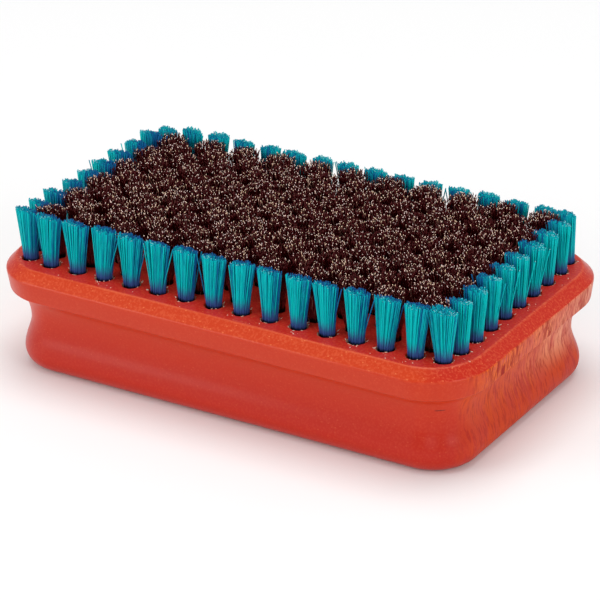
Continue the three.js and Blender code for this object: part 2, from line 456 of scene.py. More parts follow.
def add_flake(shape, tuft):
    """One curled flake of wood on the rim of a tuft's hole."""
    angle = dice.uniform(0, 2 * math.pi)
    outward = Vector((math.cos(angle), math.sin(angle), 0))
    sideways = Vector((-outward.y, outward.x, 0))
    rise = Vector((0, 0, FLAKE_THICKNESS))
    foot = Vector((tuft.x, tuft.y, TOP - FLAKE_SUNK)) + outward * (NYLON_HOLE + chance("flake gap"))
    width = chance("flake width")
    reach = chance("flake reach")
    lift = chance("flake lift")
    skew = sideways * chance("flake skew")
    sections = []
    for t in (0.0, 0.5, 1.0):
        middle = foot + outward * reach * t + skew * t * t + Vector((0, 0, lift * t * t))
        half = sideways * width * (1 - FLAKE_TAPER * t) / 2
        corners = (middle - half, middle + half, middle + half + rise, middle - half + rise)
        sections.append([shape.verts.new(corner) for corner in corners])
    for lower, upper in zip(sections, sections[1:]):
        join_rings(shape, lower, upper)
    shape.faces.new(sections[0][::-1])
    shape.faces.new(sections[-1])


def add_crumb(shape, tuft):
    """One chip of wood on the strip outside a tuft."""
    reach = chance("crumb reach")
    slip = chance("crumb slip")
    x = tuft.x + tuft.outward[0] * reach - tuft.outward[1] * slip
    y = tuft.y + tuft.outward[1] * reach + tuft.outward[0] * slip
    size = chance("crumb size")
    points = []
    for corner in CRUMB_CORNERS:
        jolt = Vector((dice.uniform(*CRUMB_JOLT), dice.uniform(*CRUMB_JOLT), 0))
        points.append(shape.verts.new(Vector((x, y, TOP)) + (Vector(corner) + jolt) * size))
    for first, second in CRUMB_SIDES:
        shape.faces.new((points[first], points[second], points[CRUMB_PEAK]))
        shape.faces.new((points[second], points[first], points[CRUMB_FOOT]))


straight_tufts = [tuft for tuft in border_tufts if 0 in tuft.outward]
shape = bmesh.new()
for tuft in border_tufts:
    for flake in range(FLAKES_A_HOLE):
        add_flake(shape, tuft)
for crumb in range(CRUMBS):
    add_crumb(shape, dice.choice(straight_tufts))
splinter_mesh = mesh_from(shape, "rim_splinters")
add_piece("rim_splinters", splinter_mesh, "lacquered_wood")
print(len(border_tufts) * FLAKES_A_HOLE, "splinters and", CRUMBS, "crumbs")

# %% [markdown]
# ## Filaments and wires
# Blender's hair system could grow the bristles, but a part in a library has to be plain mesh.
# So every filament is a thin closed tube along its own path. All paths of a piece are one
# block of numbers, and the tubes are made from it at once, which is far quicker than a loop.
# Each tube also gets a texture map with a meaning: across is the strand's own tone, and
# up is the height along it. The material reads the map, so a bake of it is exact.

# %% Turn paths into tubes
import numpy as np

ROOT_V, TIP_V, CUT_V = 0.03, 0.95, 0.98
TONE_EDGE, TONE_ROOM, TONE_STEP = 0.02, 0.92, 0.02


def compass(angles):
    """Steps of length 1 in the given directions across the block."""
    return np.stack((np.cos(angles), np.sin(angles)), axis=1)


def tube_map(tones, steps, sides):
    """The texture map of all tubes: first their walls, then the two ends of each."""
    strands = len(tones)
    left = TONE_EDGE + tones[:, None, None] * TONE_ROOM + TONE_STEP * np.arange(sides) / sides
    left = np.broadcast_to(left, (strands, len(steps) - 1, sides))
    right = left + TONE_STEP / sides
    heights = ROOT_V + (TIP_V - ROOT_V) * steps
    low = np.broadcast_to(heights[None, :-1, None], left.shape)
    high = np.broadcast_to(heights[None, 1:, None], left.shape)
    walls = np.stack((left, low, right, low, right, high, left, high), axis=-1)
    spot = compass(2 * np.pi * np.arange(sides) / sides) * (TONE_STEP / 2, TONE_STEP / 4)
    middle = TONE_EDGE + TONE_STEP / 2 + tones * TONE_ROOM
    ends = np.empty((strands, 2, sides, 2))
    for end, level_v in enumerate((CUT_V, ROOT_V)):
        centre = np.stack((middle, np.full(strands, level_v)), axis=1)
        ends[:, end] = centre[:, None] + spot
    return np.concatenate((walls.ravel(), ends.ravel()))


def tube_mesh(name, paths, steps, radius, sides, tones):
    """One mesh of closed tubes. The paths are strands by points by xyz, the steps say how
    far up each point is, from 0 to 1, and the tones are one value a strand."""
    strands, points = paths.shape[:2]
    circle = compass(2 * np.pi * np.arange(sides) / sides) * radius
    corners = paths[:, :, None, :] + np.pad(circle, ((0, 0), (0, 1)))
    index = np.arange(strands * points * sides).reshape(strands, points, sides)
    after = np.roll(index, -1, axis=2)
    walls = np.stack((index[:, :-1], after[:, :-1], after[:, 1:], index[:, 1:]), axis=-1)
    ends = np.stack((index[:, -1], index[:, 0, ::-1]), axis=1)
    wall_starts = np.arange(0, walls.size, 4)
    end_starts = walls.size + np.arange(0, ends.size, sides)
    starts = np.concatenate((wall_starts, end_starts))
    mesh = bpy.data.meshes.new(name)
    mesh.vertices.add(corners.size // 3)
    mesh.vertices.foreach_set("co", corners.ravel())
    mesh.loops.add(walls.size + ends.size)
    mesh.loops.foreach_set("vertex_index", np.concatenate((walls.ravel(), ends.ravel())))
    mesh.polygons.add(len(starts))
    mesh.polygons.foreach_set("loop_start", starts)
    mesh.polygons.foreach_set("use_smooth", np.arange(len(starts)) < len(wall_starts))
    mesh.update(calc_edges=True)
    mesh.uv_layers.new(name="OFBake").data.foreach_set("uv", tube_map(tones, steps, sides))
    mesh.validate()
    return mesh


print("the map runs from", ROOT_V, "at the roots to", TIP_V, "at the tips, cut ends at", CUT_V)

# %% [markdown]
# ## What all tufts share
# Nylon or bronze, a tuft starts as a round bundle in its hole and opens towards its tips. A
# bend modifier could open it, but every strand ends at a height of its own. So the points are
# worked out: one helper packs the bundle, one opens it and one stands it on the block. The last
# helper makes a piece from a row of tufts.

# %% Shape a tuft
GOLDEN_TURN = math.pi * (3 - math.sqrt(5))


def bundle(count):
    """Places in a round bundle: distance from the middle and angle, evenly packed."""
    order = np.arange(count)
    return np.sqrt((order + 0.5) / count), order * GOLDEN_TURN


def open_bundle(root, tip, rise, buried, steps, curve=1.0):
    """The points of strands from their roots to their tips: places across and heights."""
    z = -buried + (rise[:, None] + buried) * steps
    share = np.clip(z / rise[:, None], 0, 1) ** curve
    return root[:, None] + (tip - root)[:, None] * share[:, :, None], z


def stand(tuft, flat, z):
    """Puts the points of strands where their tuft stands on the block."""
    return np.stack((tuft.x + flat[:, :, 0], tuft.y + flat[:, :, 1], TOP + z), axis=2)


def add_strands(name, made, steps, radius, sides, material_slot, node):
    """Makes one piece from the paths and tones of several tufts."""
    paths = np.concatenate([path for path, tone in made])
    tones = np.concatenate([tone for path, tone in made])
    mesh = tube_mesh(name, paths, steps, radius, sides, tones)
    print(name, "has", len(paths), "strands and", len(mesh.polygons), "faces")
    return add_piece(name, mesh, material_slot, node)


print(f"each strand of a bundle is {math.degrees(GOLDEN_TURN):.1f} degrees round from the last")

# %% [markdown]
# ## Habits of the nylon rows
# No two rows look alike on a brush that has been used. The far rows lean over and end lower,
# one corner tuft is splayed and others are drawn together. The side of a tuft that faces the
# open air is painted lighter than the side that faces the bronze, as painted light and shade, and
# the front row is painted darker towards the right. Random numbers alone would not give this, so
# the habits of the rows and of the four corner tufts stand in two tables, and one can be
# changed without touching the others.

# %% Note the habits of the rows
# How far the tips lean along and across the block and how much lower they end, both in mm, the
# tone in the middle of a tuft and how that tone grows along and across it, which are painted light
# and shade, and how much wider than usual the tuft opens along and across the block
Habit = namedtuple("Habit", "lean trim tone growth opening")
ROW_HABITS = {
    "front": Habit((0.4, 0.0), 0.0, 0.29, (-0.11, -0.54), (1.11, 1.0)),
    "right": Habit((0.0, 0.0), 0.0, 0.52, (0.48, 0.0), (1.0, 1.0)),
    "back": Habit((0.6, -0.3), 0.42, 0.70, (0.10, 0.42), (0.95, 1.0)),
    "left": Habit((0.3, -0.2), 0.22, 0.40, (-0.60, 0.0), (1.0, 1.0)),
}
# Each row starts at a corner, and its first tuft has a habit of its own
CORNER_HABITS = {
    "front": Habit((-0.2, 0.0), 0.0, 0.46, (-0.24, -0.24), (1.0, 1.0)),
    "right": Habit((0.0, 0.0), 0.0, 0.62, (0.14, -0.14), (1.22, 1.5)),
    "back": Habit((-0.3, -0.2), 0.2, 0.60, (0.14, 0.14), (0.80, 0.9)),
    "left": Habit((0.7, -0.2), 1.15, 0.66, (-0.14, 0.14), (0.85, 1.0)),
}
print("habits of", len(ROW_HABITS), "rows and", len(CORNER_HABITS), "corner tufts")

# %% [markdown]
# ## Nylon tufts
# A tuft is a bunch of straight filaments folded over a flat wire and pressed into a round hole.
# Above the hole it opens like a fan. One machine sets every tuft the same way, so all fans
# spread along the block and stay thin across it, on all four sides. The tips are trimmed to one
# plane, but a fan ends lower at its rim and in groups of filaments. A few filaments always
# escape and lean against the next tuft. The tone changes round a tuft in soft streaks. All of
# it comes from seeded random numbers, so every run makes the same brush.

# %% Make the nylon tufts
TIP_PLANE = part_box("nylon_border_bristles")[1][2]
STRAND_SEED = 23
NYLON_COUNT = 140
NYLON_RADIUS = 0.135 * MM
NYLON_SIDES = 5
NYLON_POINTS = 6
NYLON_STEPS = np.linspace(0, 1, NYLON_POINTS)
NYLON_BURIED = 2.0 * MM
NYLON_ROOT = np.array((1.78, 1.42)) * MM
NYLON_TIP = np.array((3.05, 1.20)) * MM
NYLON_CURVE = 1.08
NYLON_CROWN = 0.35 * MM
NYLON_RAGGED, RAGGED_WAVES = 0.32 * MM, 8
STREAK_TONE, STREAK_WAVES = 0.14, 9
STRAY_SHARE, STRAY_FROM = 0.03, 0.6
# The spread of what is left to chance: shares of the bundle, the fan and the tone, and lengths
NYLON_UNEVEN, FAN_UNEVEN, TONE_UNEVEN = 0.03, 0.03, 0.13
TIP_UNEVEN = 0.09 * MM
LEAN_UNEVEN = 0.16 * MM
TILT_UNEVEN = 0.16 * MM
TRIM_UNEVEN = -0.25 * MM, 0.45 * MM
STRAY_REACH = 0.6 * MM, 2.1 * MM
STRAY_DROP = 0.1 * MM, 0.7 * MM

dice_table = np.random.default_rng(STRAND_SEED)


def nylon_paths(tuft):
    """The paths and tones of one tuft's filaments."""
    habit = (ROW_HABITS if tuft in straight_tufts else CORNER_HABITS)[tuft.side]
    reach, angle = bundle(NYLON_COUNT)
    reach = np.clip(reach + dice_table.normal(0, NYLON_UNEVEN, NYLON_COUNT), 0, 1)
    angle = angle + dice_table.uniform(0, 2 * np.pi)
    place = compass(angle) * reach[:, None]
    tip = place * NYLON_TIP * dice_table.normal(1, FAN_UNEVEN, 2)
    tip += dice_table.normal(0, TIP_UNEVEN, (NYLON_COUNT, 2))
    tip *= habit.opening
    tip += np.array(habit.lean) * MM + dice_table.normal(0, LEAN_UNEVEN, 2)
    stray = (dice_table.random(NYLON_COUNT) < STRAY_SHARE) & (np.abs(place[:, 0]) > STRAY_FROM)
    tip[stray, 0] += np.sign(place[stray, 0]) * dice_table.uniform(*STRAY_REACH, stray.sum())
    rise = TIP_PLANE - TOP - habit.trim * MM - dice_table.uniform(*TRIM_UNEVEN, NYLON_COUNT)
    rise -= NYLON_CROWN * reach ** 3 + place @ dice_table.normal(0, TILT_UNEVEN, 2)
    rise -= NYLON_RAGGED * (0.5 + 0.5 * np.sin(RAGGED_WAVES * place[:, 0] + angle[0]))
    rise[stray] -= dice_table.uniform(*STRAY_DROP, stray.sum())
    flat, z = open_bundle(place * NYLON_ROOT, tip, rise, NYLON_BURIED, NYLON_STEPS, NYLON_CURVE)
    # Painted light and shade: the tone is lighter on the side of the tuft that faces the open air,
    # as each row's habit says.
    tone = habit.tone + place @ habit.growth + STREAK_TONE * np.sin(STREAK_WAVES * angle)
    tone += dice_table.normal(0, TONE_UNEVEN, NYLON_COUNT)
    return stand(tuft, flat, z), np.clip(tone, 0, 1)


nylon_pieces = []
for side in ROW_HABITS:
    made = [nylon_paths(tuft) for tuft in border_tufts if tuft.side == side]
    nylon_pieces.append(add_strands(
        f"nylon_tufts_{side}", made, NYLON_STEPS, NYLON_RADIUS, NYLON_SIDES,
        "nylon", "nylon_border_bristles"))

# %% [markdown]
# ## Bronze tufts
# The wire is crimped before it is cut, so each strand waves in its own plane and the tufts grow
# into each other at the tips. Waves need more points than straight nylon, and the points crowd
# towards the tips, where the waves show. The outer wires lean out most, so a tuft is highest in
# its middle. Tufts at the rim of the field lean outwards where no neighbour holds them, but stand
# upright at the back, where the nylon leans over them. Use has worn the field lower towards the
# far left corner. There are over 24,000 wires, so each has only three sides: at a sixth of a
# millimetre nobody can count them. Each row is one piece, which keeps every mesh small enough
# to handle.

# %% Make the bronze tufts
BRONZE_COUNT = 210
BRONZE_RADIUS = 0.082 * MM
BRONZE_SIDES = 3
BRONZE_POINTS, TIP_CROWDING = 11, 1.5
BRONZE_STEPS = 1 - (1 - np.linspace(0, 1, BRONZE_POINTS)) ** TIP_CROWDING
BRONZE_BURIED = 1.0 * MM
BRONZE_ROOT = 1.70 * MM
BRONZE_TIP = 3.66 * MM
BRONZE_CROWN = 0.5 * MM
CRIMP = 0.24 * MM
CRIMP_LENGTH = 2.4 * MM
CRIMP_START = 2.0 * MM
FIELD_RIM, RIM_LEAN = 0.85, 0.8 * MM
WORN_DEPTH, WORN_REACH = 1.3 * MM, 60.0 * MM
# The spread of what is left to chance: shares of the bundle and the crimp, an angle, and lengths
BRONZE_UNEVEN, CRIMP_UNEVEN, TURN_UNEVEN = 0.05, (0.85, 1.2), 0.1
WIRE_UNEVEN = 0.28 * MM
WIRE_TRIM = 0.5 * MM


def bronze_paths(tuft):
    """The paths and tones of one tuft's wires."""
    reach, angle = bundle(BRONZE_COUNT)
    reach = np.clip(reach + dice_table.normal(0, BRONZE_UNEVEN, BRONZE_COUNT), 0, 1)
    angle = angle + dice_table.uniform(0, 2 * np.pi)
    angle += dice_table.normal(0, TURN_UNEVEN, BRONZE_COUNT)
    place = compass(angle) * reach[:, None]
    tip = place * BRONZE_TIP + dice_table.normal(0, WIRE_UNEVEN, (BRONZE_COUNT, 2))
    at_rim = np.abs((tuft.x / field_x, tuft.y / field_y)) > FIELD_RIM
    tip += RIM_LEAN * at_rim * np.minimum(np.sign((tuft.x, tuft.y)), (1, 0))
    rise = TIP_PLANE - TOP - dice_table.uniform(0, WIRE_TRIM, BRONZE_COUNT)
    from_corner = math.hypot(tuft.x + field_x, tuft.y - field_y)
    worn_share = max(0.0, 1 - from_corner / WORN_REACH)
    rise -= BRONZE_CROWN * reach ** 2 + WORN_DEPTH * worn_share ** 2
    flat, z = open_bundle(place * BRONZE_ROOT, tip, rise, BRONZE_BURIED, BRONZE_STEPS)
    plane = dice_table.uniform(0, 2 * np.pi, BRONZE_COUNT)
    phase = dice_table.uniform(0, 2 * np.pi, BRONZE_COUNT)
    length = CRIMP_LENGTH * dice_table.uniform(*CRIMP_UNEVEN, BRONZE_COUNT)
    wave = CRIMP * np.sin(2 * np.pi * z / length[:, None] + phase[:, None])
    wave *= np.clip(z / CRIMP_START, 0, 1)
    flat += wave[:, :, None] * compass(plane)[:, None]
    return stand(tuft, flat, z), dice_table.random(BRONZE_COUNT)


bronze_pieces = []
for row in range(FIELD_ROWS):
    made = [bronze_paths(tuft) for tuft in field_tufts if tuft.side == row]
    bronze_pieces.append(add_strands(
        f"bronze_row_{row + 1:02}", made, BRONZE_STEPS, BRONZE_RADIUS, BRONZE_SIDES,
        "bronze_wire", "bronze_field_bristles"))

# %% [markdown]
# ## Tools for the finishes
# Materials are graphs of nodes. Writing out every node would hide the idea of a finish, so
# a few short helpers add a node, mix two colours or stretch a range. Colours are given on
# the usual 0 to 255 scale and turned into the linear light that shaders work in.

# %% Write the node helpers


def paint(red, green, blue):
    """A colour given on the 0 to 255 scale, as linear light with full opacity."""
    return (*Color((red / 255, green / 255, blue / 255)).from_srgb_to_scene_linear(), 1.0)


def add_node(tree, kind, inputs=None, **options):
    """Adds a node, sets its options, and fills its inputs with values or links."""
    made = tree.nodes.new(kind)
    for name, value in options.items():
        setattr(made, name, value)
    for name, value in (inputs or {}).items():
        if isinstance(value, bpy.types.NodeSocket):
            tree.links.new(value, made.inputs[name])
        else:
            made.inputs[name].default_value = value
    return made


def reckon(tree, operation, *values):
    """One sum on up to three values."""
    made = add_node(tree, "ShaderNodeMath", dict(enumerate(values)), operation=operation)
    return made.outputs[0]


def times(tree, first, second):
    """Two values multiplied."""
    return reckon(tree, "MULTIPLY", first, second)


def scaled(tree, value, gain, start):
    """A value times a gain, added to a start."""
    return reckon(tree, "MULTIPLY_ADD", value, gain, start)


def remainder(tree, value):
    """What a value leaves of 1."""
    return reckon(tree, "SUBTRACT", 1.0, value)


def ramp(tree, value, start, end):
    """A soft step from 0 to 1 between two values."""
    inputs = {"Value": value, "From Min": start, "From Max": end}
    made = add_node(tree, "ShaderNodeMapRange", inputs, interpolation_type="SMOOTHSTEP")
    return made.outputs[0]


def blend(tree, factor, first, second):
    """A mix of two colours, which a mix node takes in its sockets 6 and 7."""
    inputs = {0: factor, 6: first, 7: second}
    return add_node(tree, "ShaderNodeMix", inputs, data_type="RGBA").outputs[2]


def vector_sum(tree, operation, *vectors):
    """One sum on up to two vectors."""
    made = add_node(tree, "ShaderNodeVectorMath", dict(enumerate(vectors)), operation=operation)
    return made.outputs["Value" if operation == "LENGTH" else "Vector"]


def split(tree, vector):
    """The three parts of a vector."""
    return tuple(add_node(tree, "ShaderNodeSeparateXYZ", {0: vector}).outputs)


def noise(tree, vector, scale, detail=2.0, roughness=0.5):
    """A soft random value at each point, with a scale for each axis."""
    stretched = vector_sum(tree, "MULTIPLY", vector, scale)
    inputs = {"Vector": stretched, "Scale": 1.0, "Detail": detail, "Roughness": roughness}
    return add_node(tree, "ShaderNodeTexNoise", inputs).outputs["Fac"]


BLACK = paint(0, 0, 0)
print("a middle grey of 128 is", round(paint(128, 128, 128)[0], 3), "in linear light")

# %% [markdown]
# ## One tint for all strands
# Nylon and bronze strands change colour in the same way: a part sunk in the hole in painted shade,
# a root painted dark for the shade of the bundle, a body between a dark and a light tone, a tip,
# and a freshly cut end. Only a share of the strands has a bright tip and a bright cut, which carry
# the painted glints, and the tips come in two colours. So the tint is one node group, and each
# material gives it its own colours.
# It reads the map that the tubes carry, where across is the tone and up is the height.

# %% Build the strand tint
# The sunk colour is painted shade in the hole, and the light cut colour is a painted glint on the
# cut ends.
STRAND_COLOURS = ("Sunk Shade", "Root", "Dark", "Light", "Tip", "Other Tip", "Cut Dark", "Cut Glint")
STRAND_VALUES = {
    "Light Start": 0.1, "Root Light": 0.0, "Root End": 0.3, "Tip Start": 0.9, "Tip Share": 1.0}
MOTTLE_SCALE = (70.0, 5.0, 0.0)
ROOT_SOFTNESS, TIP_SOFTNESS = 0.45, 0.012


def new_group(name, inputs, outputs):
    """A node group with named sockets. Returns its tree, what it is given and what it puts out."""
    tree = bpy.data.node_groups.new(name, "ShaderNodeTree")
    for label, value in inputs.items():
        kind = "NodeSocketColor" if isinstance(value, tuple) else "NodeSocketFloat"
        tree.interface.new_socket(label, in_out="INPUT", socket_type=kind).default_value = value
    for label, kind in outputs.items():
        tree.interface.new_socket(label, in_out="OUTPUT", socket_type=kind)
    return tree, tree.nodes.new("NodeGroupInput").outputs, tree.nodes.new("NodeGroupOutput").inputs


strand_tint, given, result = new_group(
    "strand_tint", dict.fromkeys(STRAND_COLOURS, BLACK) | STRAND_VALUES,
    {"Color": "NodeSocketColor", "Mottle": "NodeSocketFloat"})
tree = strand_tint
strand_map = add_node(tree, "ShaderNodeUVMap", uv_map="OFBake").outputs[0]
tone, climb = split(tree, strand_map)[:2]
mottle = noise(tree, strand_map, MOTTLE_SCALE)
drift = reckon(tree, "SUBTRACT", mottle, 0.5)

light_part = ramp(tree, reckon(tree, "ADD", tone, drift), given["Light Start"], end=0.95)
body = blend(tree, light_part, given["Dark"], given["Light"])

# Painted shade: the strand is dark below the rim of the hole, and takes the root colour for the
# shade low in the bundle.
above_hole = ramp(tree, climb, start=0.14, end=0.20)
root = blend(tree, above_hole, given["Sunk Shade"], given["Root"])
uneven_climb = scaled(tree, drift, gain=0.12, start=climb)
root_start = times(tree, given["Root End"], ROOT_SOFTNESS)
above_root = ramp(tree, uneven_climb, root_start, given["Root End"])
light_root = times(tree, light_part, given["Root Light"])
shows_body = reckon(tree, "MAXIMUM", above_root, light_root)
with_root = blend(tree, shows_body, root, body)

# Painted glints: a share of the strands gets a bright tip and a bright cut.
bright = reckon(tree, "GREATER_THAN", tone, remainder(tree, given["Tip Share"]))
tip_end = reckon(tree, "ADD", given["Tip Start"], TIP_SOFTNESS)
tip_part = times(tree, bright, ramp(tree, climb, given["Tip Start"], tip_end))
tip_mix = ramp(tree, mottle, start=0.40, end=0.60)
tip_colour = blend(tree, tip_mix, given["Tip"], given["Other Tip"])
with_tip = blend(tree, tip_part, with_root, tip_colour)

cut = blend(tree, bright, given["Cut Dark"], given["Cut Glint"])
cut_end = reckon(tree, "GREATER_THAN", climb, (TIP_V + CUT_V) / 2)
tree.links.new(blend(tree, cut_end, with_tip, cut), result["Color"])
tree.links.new(mottle, result["Mottle"])
print(strand_tint.name, "has", len(tree.nodes), "nodes")

# %% [markdown]
# ## Nylon
# The filaments are dyed turquoise and let a little light through, so the deep parts of a tuft
# look blue. Real translucence would be slow on thousands of tubes, so that blue is painted
# shade: indigo near the hole, dark blue on the side that faces the bronze and at the cut ends,
# with pale painted glints on some cuts. The surface is smooth but not polished.

# %% Finish the nylon


def place_group(tree, group, values):
    """Puts a node group in a material with its own values, and returns what it puts out."""
    made = tree.nodes.new("ShaderNodeGroup")
    made.node_tree = group
    for label, value in values.items():
        made.inputs[label].default_value = value
    return made.outputs


def feed(tree, shader, **changing):
    """Links what changes over the surface to the shader."""
    for label, value in changing.items():
        tree.links.new(value, shader.inputs[label.replace("_", " ")])


nylon, tree, shader = new_finish("turquoise_nylon", Specular_IOR_Level=0.07)
# Painted light and shade: the sunk part and the indigo root are painted shade deep in the bundle,
# the dark tone is painted shade on the side that faces the bronze, the dark cut ends are painted
# shade between filament ends, and the pale cuts are painted glints.
tint = place_group(tree, strand_tint, {
    "Sunk Shade": paint(6, 8, 22), "Root": paint(58, 82, 146),
    "Dark": paint(12, 86, 144), "Light": paint(0, 190, 190),
    "Tip": paint(0, 160, 172), "Other Tip": paint(10, 170, 178),
    "Cut Dark": paint(4, 60, 116), "Cut Glint": paint(150, 206, 214),
    "Light Start": 0.0, "Root End": 0.42, "Tip Start": 0.925, "Tip Share": 0.25,
})
roughness = scaled(tree, tint["Mottle"], gain=0.2, start=0.28)
feed(tree, shader, Base_Color=tint["Color"], Roughness=roughness)
for piece in nylon_pieces:
    piece.data.materials.append(nylon)
print(nylon.name, "on", len(nylon_pieces), "pieces")

# %% [markdown]
# ## Bronze
# Drawn bronze wire tarnishes to a dark red-brown along its length. About one wire in four has a
# clean trimmed end, which is fresh and bright, and a near-white painted glint on it makes the
# field glitter. The part in the hole is painted dark as shade. It is all one metal, so only its
# colour and its gloss change along the wire.

# %% Finish the bronze
bronze, tree, shader = new_finish("bronze_wire", Metallic=0.4, Specular_IOR_Level=0.2)
# Painted light: the near-white tips and cuts are painted glints, and the sunk part is painted shade
# in the hole.
tint = place_group(tree, strand_tint, {
    "Sunk Shade": paint(36, 12, 12), "Root": paint(140, 44, 46),
    "Dark": paint(74, 9, 13), "Light": paint(190, 138, 122),
    "Tip": paint(255, 228, 224), "Other Tip": paint(250, 216, 172),
    "Cut Dark": paint(92, 38, 34), "Cut Glint": paint(255, 240, 220),
    "Light Start": 0.86, "Root Light": 0.6, "Root End": 0.80,
    "Tip Start": 0.930, "Tip Share": 0.26,
})
roughness = scaled(tree, tint["Mottle"], gain=0.3, start=0.2)
feed(tree, shader, Base_Color=tint["Color"], Roughness=roughness)
for piece in bronze_pieces:
    piece.data.materials.append(bronze)
print(bronze.name, "on", len(bronze_pieces), "pieces")

# %% [markdown]
# ## Wood grain
# Wood is a solid pattern: fibres run along the block, so one stretched noise gives long streaks
# on the front and short upright ones on the ends, with nothing to unwrap. A finer noise gives
# the fibres, a broader one the patches where wood is thirsty, and a pattern of cells the small
# pores. The lacquered block and its bare splinters share the group.

# %% Build the wood grain
# How many times a metre each pattern changes, along, across and up the block
STREAK_SCALE = (25.0, 900.0, 160.0)
FIBRE_SCALE = (60.0, 2200.0, 380.0)
PATCH_SCALE = (40.0, 190.0, 110.0)
PORE_SCALE = (620.0, 900.0, 900.0)
PORE_CORE = 0.5

grain_outputs = dict.fromkeys(("Streaks", "Fibres", "Pores", "Patches"), "NodeSocketFloat")
wood_grain, given, result = new_group("wood_grain", {"Pore Size": 0.25}, grain_outputs)
tree = wood_grain
solid = add_node(tree, "ShaderNodeTexCoord").outputs["Object"]
streaks = noise(tree, solid, STREAK_SCALE, detail=4.0, roughness=0.6)
fibres = noise(tree, solid, FIBRE_SCALE, detail=3.0)
patches = noise(tree, solid, PATCH_SCALE)
pore_places = vector_sum(tree, "MULTIPLY", solid, PORE_SCALE)
pore_cells = add_node(tree, "ShaderNodeTexVoronoi", {"Vector": pore_places, "Scale": 1.0})
pore_core = times(tree, given["Pore Size"], PORE_CORE)
off_pore = ramp(tree, pore_cells.outputs["Distance"], pore_core, given["Pore Size"])
pores = remainder(tree, off_pore)
for label, value in zip(grain_outputs, (streaks, fibres, pores, patches)):
    tree.links.new(value, result[label])
print(wood_grain.name, "puts out", ", ".join(grain_outputs))

# %% [markdown]
# ## Which face is which
# The lacquer is a clear red over pale wood, and it looks different on the top, the chamfer, the
# sides and the ends, partly as painted light and shade. Each could have a material of its own, but
# then hard lines would run between them. One material is used instead: the way a face points tells
# what it is, and soft ramps turn that into masks. The mesh itself marks the sanded edges, with
# their painted highlight, and the torn rims.

# %% Read the faces of the block
lacquer, tree, shader = new_finish("red_lacquer", Specular_IOR_Level=0.16, Coat_Roughness=0.18)
grain = place_group(tree, wood_grain, {"Pore Size": 0.17})
places = add_node(tree, "ShaderNodeTexCoord").outputs
across, up = split(tree, places["Object"])[1:]
facing_up = split(tree, places["Normal"])[2]
level_way = vector_sum(tree, "MULTIPLY", places["Normal"], (1.0, 1.0, 0.0))
level_way = vector_sum(tree, "NORMALIZE", level_way)
facing_end = reckon(tree, "ABSOLUTE", split(tree, level_way)[0])
# The thin lacquer of the sanded edges, which also carries their painted highlight
thin = add_node(tree, "ShaderNodeAttribute", attribute_name="thin_lacquer_and_highlight").outputs["Fac"]
torn = add_node(tree, "ShaderNodeAttribute", attribute_name="bare_rim").outputs["Fac"]

flat_top = ramp(tree, facing_up, start=0.9, end=0.99)
slanting = ramp(tree, facing_up, start=0.45, end=0.6)
steep = remainder(tree, ramp(tree, facing_up, start=0.4, end=0.6))
turning = ramp(tree, facing_end, start=0.2, end=0.7)
patchy = ramp(tree, grain["Patches"], start=0.38, end=0.62)
patch_drift = reckon(tree, "SUBTRACT", grain["Patches"], 0.5)
ragged_end = scaled(tree, patch_drift, gain=0.25, start=facing_end)
end_face = times(tree, ramp(tree, ragged_end, start=0.82, end=1.04), steep)
print("masks ready,", len(tree.nodes), "nodes so far")

# %% [markdown]
# ## The reds
# On the flat top the lacquer is deep red, painted a little lighter where the tufts shade it. On
# the chamfer it is orange along the sides and redder round the ends, partly from thinner lacquer
# over the wood and partly as painted light from the front. The sides are painted darker towards
# the bottom, as painted shade. Painting on the mesh could give these reds, but mixed paints are
# easier to change. Fine streaks run through them, and pale specks and a fine peel sit in the
# lacquer, most of them on the chamfer.

# %% Mix the reds
# Painted light and shade: the base red is the darker shade low on the sides, the side chamfer red
# is lit from the front, and the top red is lightened against the shade of the tufts.
SHADED_BASE_RED, FLANGE_RED = paint(186, 34, 11), paint(198, 52, 14)
LIT_SIDE_CHAMFER, END_CHAMFER = paint(200, 59, 16), paint(192, 36, 11)
TOP_RED, STREAK_RED = paint(204, 42, 34), paint(172, 28, 16)
SPECK, PEEL = paint(236, 136, 84), paint(236, 120, 76)
STREAK_SHARE = 0.3
PEEL_SCALE = (1900.0, 1900.0, 1900.0)

# Painted shade: the sides are darker towards the bottom.
upper = ramp(tree, up, start=5.0 * MM, end=20.0 * MM)
side_red_and_shade = blend(tree, upper, SHADED_BASE_RED, FLANGE_RED)
# Painted light: the chamfer is more orange along the sides than round the ends.
chamfer_red = blend(tree, turning, LIT_SIDE_CHAMFER, END_CHAMFER)
rim_red = blend(tree, slanting, side_red_and_shade, chamfer_red)
even_red = blend(tree, flat_top, rim_red, TOP_RED)
streaky_red = blend(tree, times(tree, grain["Streaks"], STREAK_SHARE), even_red, STREAK_RED)
speck_share = times(tree, grain["Pores"], scaled(tree, slanting, gain=0.32, start=0.12))
with_specks = blend(tree, speck_share, streaky_red, SPECK)
peel = ramp(tree, noise(tree, places["Object"], PEEL_SCALE), start=0.45, end=0.65)
peel_share = times(tree, peel, scaled(tree, slanting, gain=0.14, start=0.06))
with_peel = blend(tree, peel_share, with_specks, PEEL)
print("reds mixed,", len(tree.nodes), "nodes so far")

# %% [markdown]
# ## The end grain
# On the two ends the open grain drinks the lacquer, so they are tan and dull with short dark lines,
# and the end of the flange has bold strokes. The tan grows paler towards the back, which is a
# painted sheen, and fades down the groove, where it is painted redder at the front as shade and
# tanner at the back as sheen. The same grain that streaks the sides draws the lines here, because
# it is one piece of wood, and a mask for the thirsty patches keeps the ends uneven.

# %% Soak the ends
# The back tan is a painted sheen, paler than the soaked wood at the front.
FRONT_TAN, BACK_TAN_SHEEN = paint(226, 102, 18), paint(246, 190, 156)
SOAKED_RED = paint(199, 66, 26)
LINE_RED, STROKE_RED = paint(152, 28, 16), paint(156, 30, 16)
END_HALF = 34.0 * MM

